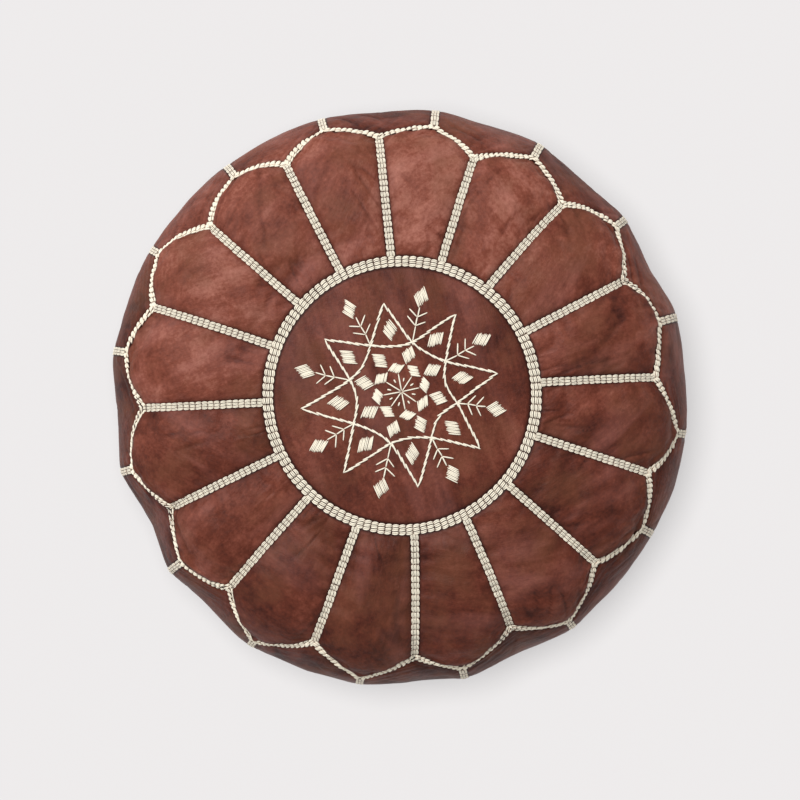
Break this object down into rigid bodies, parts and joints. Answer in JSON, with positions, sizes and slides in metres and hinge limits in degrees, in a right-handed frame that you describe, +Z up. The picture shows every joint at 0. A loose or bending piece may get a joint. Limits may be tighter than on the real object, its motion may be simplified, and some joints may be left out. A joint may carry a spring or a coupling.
{
  "type": "pouf",
  "caption": "Round leather pouf with a stitched rosette on top, pointed petals, side panels and a zipped base.",
  "frame": {"origin": "middle of the base, on the floor", "axes": "+Z up through the middle of the rosette, X along the zip in the base"},
  "size_m": [0.5266, 0.5266, 0.32],
  "materials": {
    "leather_top": "satin",
    "leather_side": "satin",
    "leather_base": "matte",
    "cotton_cord": "matte",
    "sewing_thread": "matte",
    "zip_tape": "matte",
    "zip_metal": "satin",
    "stuffing": "matte"
  },
  "bodies": {
    "cover": {"medallion": "leather_top", "petal_01": "leather_top", "petal_02": "leather_top", "petal_03": "leather_top", "petal_04": "leather_top", "petal_05": "leather_top", "petal_06": "leather_top", "petal_07": "leather_top", "petal_08": "leather_top", "petal_09": "leather_top", "petal_10": "leather_top", "petal_11": "leather_top", "petal_12": "leather_top", "petal_13": "leather_top", "petal_14": "leather_top", "petal_15": "leather_top", "petal_16": "leather_top", "side_panel_01": "leather_side", "side_panel_02": "leather_side", "side_panel_03": "leather_side", "side_panel_04": "leather_side", "side_panel_05": "leather_side", "side_panel_06": "leather_side", "side_panel_07": "leather_side", "side_panel_08": "leather_side", "side_panel_09": "leather_side", "side_panel_10": "leather_side", "side_panel_11": "leather_side", "side_panel_12": "leather_side", "side_panel_13": "leather_side", "side_panel_14": "leather_side", "side_panel_15": "leather_side", "side_panel_16": "leather_side", "base_half_front": "leather_base", "base_half_back": "leather_base", "ring_cords": "cotton_cord", "spoke_cords": "cotton_cord", "scallop_cords": "cotton_cord", "side_seam_cords": "cotton_cord", "rosette_lozenges": "cotton_cord", "rosette_star": "cotton_cord", "rosette_branches": "cotton_cord", "rosette_centre": "cotton_cord", "base_seam_thread": "sewing_thread", "zip_stitching": "sewing_thread", "zip_tape_back": "zip_tape", "zip_tape_front": "zip_tape", "zip_teeth_back": "zip_metal", "zip_teeth_front": "zip_metal", "zip_top_stops": "zip_metal", "zip_bottom_stop": "zip_metal", "filling": "stuffing"},
    "slider": {"zip_slider": "zip_metal"},
    "pull": {"zip_pull": "zip_metal"}
  },
  "joints": [
    {"name": "zip_run", "type": "slide", "parent": "cover", "child": "slider", "axis": [-1, 0, 0], "range_m": [0, 0.24]},
    {"name": "pull_swing", "type": "hinge", "parent": "slider", "child": "pull", "pos_m": [0.121, 0, 0.0053], "axis": [0, 1, 0], "range_deg": [0, 160]}
  ]
}
